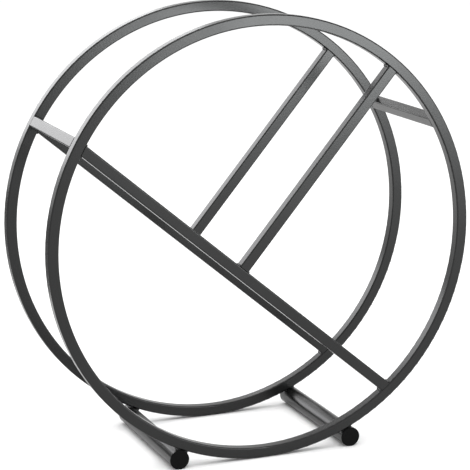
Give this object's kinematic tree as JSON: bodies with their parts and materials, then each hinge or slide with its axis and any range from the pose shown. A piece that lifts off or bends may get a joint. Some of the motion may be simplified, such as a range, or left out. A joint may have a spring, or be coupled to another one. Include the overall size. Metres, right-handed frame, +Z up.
{
  "type": "firewood log rack",
  "caption": "Round floor-standing firewood rack: paired square-tube rings with a sloping rail and a divider, joined by crossbars on capped round foot tubes.",
  "frame": {"origin": "middle of the rack's footprint, on the floor", "axes": "+X to the right seen from the front, +Y to the back along the logs, +Z up"},
  "size_m": [0.61, 0.22, 0.6104],
  "materials": {
    "powder_coat": "satin anthracite powder coat",
    "weld_coat": "the same powder coat over weld fillets",
    "end_cap": "black moulded polyethylene, fine grain"
  },
  "bodies": {
    "root": {"front_ring": "powder_coat", "rear_ring": "powder_coat", "front_sloping_rail": "powder_coat", "rear_sloping_rail": "powder_coat", "front_divider": "powder_coat", "rear_divider": "powder_coat", "upper_left_crossbar": "powder_coat", "right_crossbar": "powder_coat", "left_foot_tube": "powder_coat", "right_foot_tube": "powder_coat", "front_frame_welds": "weld_coat", "rear_frame_welds": "weld_coat", "upper_left_crossbar_welds": "weld_coat", "right_crossbar_welds": "weld_coat", "left_foot_welds": "weld_coat", "right_foot_welds": "weld_coat", "left_front_end_cap": "end_cap", "left_rear_end_cap": "end_cap", "right_front_end_cap": "end_cap", "right_rear_end_cap": "end_cap"}
  },
  "joints": []
}
